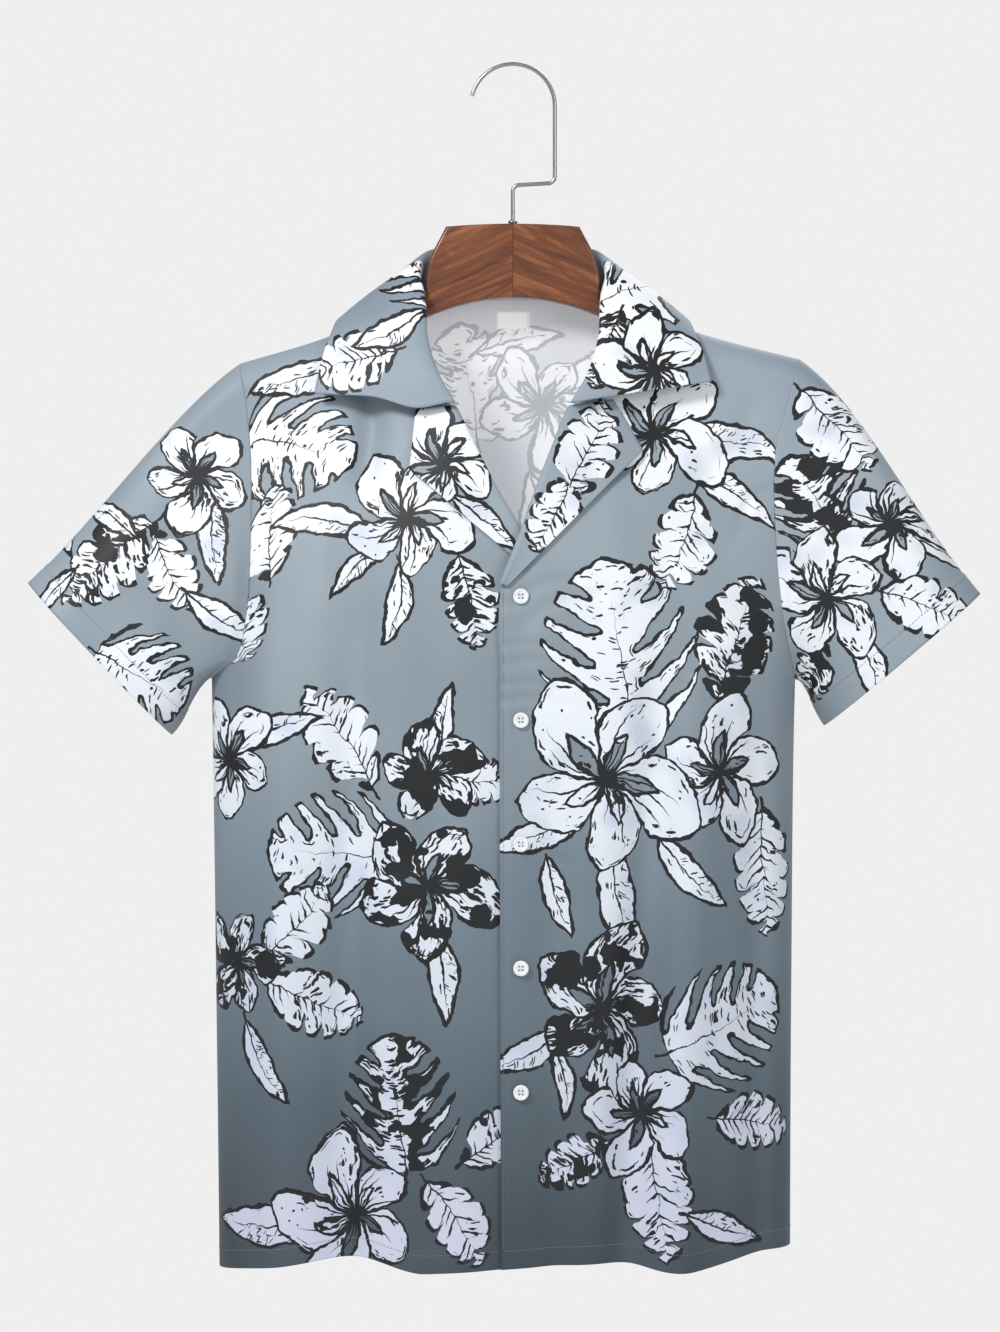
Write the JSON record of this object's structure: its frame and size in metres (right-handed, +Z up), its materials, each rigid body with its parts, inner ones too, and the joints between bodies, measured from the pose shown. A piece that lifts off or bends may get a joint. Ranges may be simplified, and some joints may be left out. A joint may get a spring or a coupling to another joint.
{
  "type": "hawaiian shirt on a wooden hanger",
  "caption": "Short-sleeved camp-collar shirt in printed cloth, buttoned with an open neck, hanging on a contoured wooden hanger with a wire hook.",
  "frame": {"origin": "inner top of the hanger's hook, where the rail carries it", "axes": "+Z up, the shirt's front faces -Y, the wearer's left is at +X"},
  "size_m": [0.714, 0.1758, 0.9007],
  "materials": {
    "cloth": "smooth printed rayon, grey blue darkening to the hem, white blossoms and inked leaves",
    "button": "pearly white",
    "label": "woven satin tape, blank",
    "wood": "walnut stain, satin varnish",
    "wire": "bright drawn wire"
  },
  "bodies": {
    "root": {"front_left": "cloth", "front_right": "cloth", "back": "cloth", "sleeve_left": "cloth", "sleeve_right": "cloth", "collar": "cloth", "lapel_left": "cloth", "lapel_right": "cloth", "button_1": "button", "button_2": "button", "button_3": "button", "button_4": "button", "button_5": "button", "neck_label": "label", "hanger_wood": "wood", "hanger_ferrule": "wire", "hanger_hook": "wire"}
  },
  "joints": []
}
